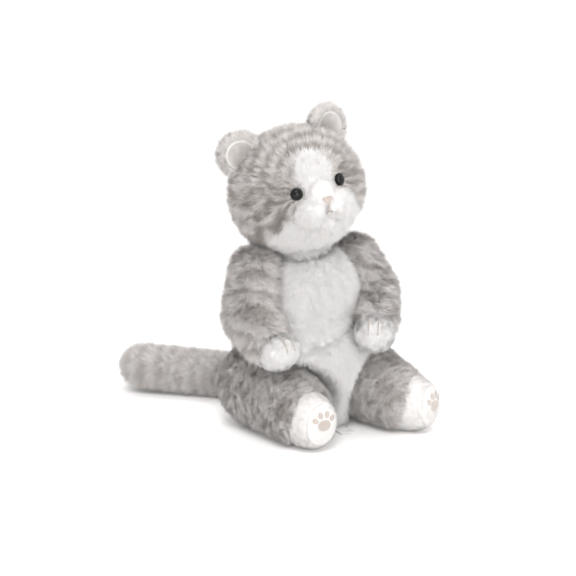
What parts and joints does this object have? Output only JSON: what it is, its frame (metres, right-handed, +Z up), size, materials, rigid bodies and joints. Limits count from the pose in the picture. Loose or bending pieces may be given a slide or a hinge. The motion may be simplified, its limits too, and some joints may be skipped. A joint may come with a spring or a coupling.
{
  "type": "plush cat",
  "caption": "Sitting plush cat with a turning head, raising arms, spreading legs, folding ears and a swinging tail.",
  "frame": {"origin": "on the floor under the middle of the seat", "axes": "+Z up, the cat faces -Y, its left side is +X"},
  "size_m": [0.2074, 0.2476, 0.2768],
  "materials": {
    "tabby_fur": "matte",
    "white_fur": "matte",
    "velour": "matte",
    "polyester_filling": "matte",
    "pellet_bag": "matte",
    "label": "satin",
    "eye": "gloss",
    "washer": "matte",
    "nose": "matte",
    "print": "satin",
    "thread": "matte"
  },
  "bodies": {
    "torso": {"back_panel_left": "tabby_fur", "back_panel_right": "tabby_fur", "belly_panel": "white_fur", "base_panel": "tabby_fur", "torso_stuffing": "polyester_filling", "pellet_bag": "pellet_bag", "care_label": "label"},
    "neck": {"neck_ball": "polyester_filling"},
    "head": {"crown_panel_left": "tabby_fur", "crown_panel_right": "tabby_fur", "blaze_panel": "white_fur", "chin_panel": "white_fur", "muzzle": "white_fur", "head_stuffing": "polyester_filling", "nose": "nose", "mouth_stitches": "thread", "eye_left": "eye", "eye_right": "eye", "eye_washer_left": "washer", "eye_washer_right": "washer"},
    "ear_left": {"ear_back_left": "tabby_fur", "ear_lining_left": "velour"},
    "ear_right": {"ear_back_right": "tabby_fur", "ear_lining_right": "velour"},
    "arm_left": {"arm_sleeve_left": "tabby_fur", "paw_left": "white_fur", "arm_stuffing_left": "polyester_filling", "toe_stitches_left": "thread"},
    "arm_right": {"arm_sleeve_right": "tabby_fur", "paw_right": "white_fur", "arm_stuffing_right": "polyester_filling", "toe_stitches_right": "thread"},
    "leg_left": {"leg_cover_left": "tabby_fur", "foot_upper_left": "velour", "sole_left": "velour", "paw_print_left": "print", "leg_stuffing_left": "polyester_filling"},
    "leg_right": {"leg_cover_right": "tabby_fur", "foot_upper_right": "velour", "sole_right": "velour", "paw_print_right": "print", "leg_stuffing_right": "polyester_filling"},
    "tail": {"tail_cover": "tabby_fur", "tail_stuffing": "polyester_filling"}
  },
  "joints": [
    {"name": "head_turn", "type": "hinge", "parent": "torso", "child": "neck", "pos_m": [-0.004, 0.007, 0.15], "axis": [0, 0, 1], "range_deg": [-25, 25], "stiffness_Nm_per_rad": 0.3},
    {"name": "head_nod", "type": "hinge", "parent": "neck", "child": "head", "pos_m": [-0.004, 0.007, 0.15], "axis": [1, 0, 0], "range_deg": [-10, 10], "stiffness_Nm_per_rad": 0.6},
    {"name": "arm_left_raise", "type": "hinge", "parent": "torso", "child": "arm_left", "pos_m": [0.0475, 0.006, 0.139], "axis": [-0.9, -0.4359, 0], "range_deg": [0, 55], "stiffness_Nm_per_rad": 0.1},
    {"name": "arm_right_raise", "type": "hinge", "parent": "torso", "child": "arm_right", "pos_m": [-0.0475, 0.006, 0.139], "axis": [-0.9, 0.4359, 0], "range_deg": [0, 55], "stiffness_Nm_per_rad": 0.1},
    {"name": "leg_left_spread", "type": "hinge", "parent": "torso", "child": "leg_left", "pos_m": [0.043, 0.001, 0.0365], "axis": [0, 0, 1], "range_deg": [0, 20], "stiffness_Nm_per_rad": 0.2},
    {"name": "leg_right_spread", "type": "hinge", "parent": "torso", "child": "leg_right", "pos_m": [-0.043, 0.007, 0.0365], "axis": [0, 0, -1], "range_deg": [0, 20], "stiffness_Nm_per_rad": 0.2},
    {"name": "tail_swing", "type": "hinge", "parent": "torso", "child": "tail", "pos_m": [-0.008, 0.06, 0.02], "axis": [0, 0, -1], "range_deg": [0, 55], "stiffness_Nm_per_rad": 0.06},
    {"name": "ear_left_fold", "type": "hinge", "parent": "head", "child": "ear_left", "pos_m": [0.01945, 0.01052, 0.25178], "axis": [0.8719, 0.1701, -0.4591], "range_deg": [-12, 18], "stiffness_Nm_per_rad": 0.03},
    {"name": "ear_right_fold", "type": "hinge", "parent": "head", "child": "ear_right", "pos_m": [-0.05264, 0.01178, 0.23514], "axis": [0.5763, -0.1954, 0.7935], "range_deg": [-12, 18], "stiffness_Nm_per_rad": 0.03}
  ]
}
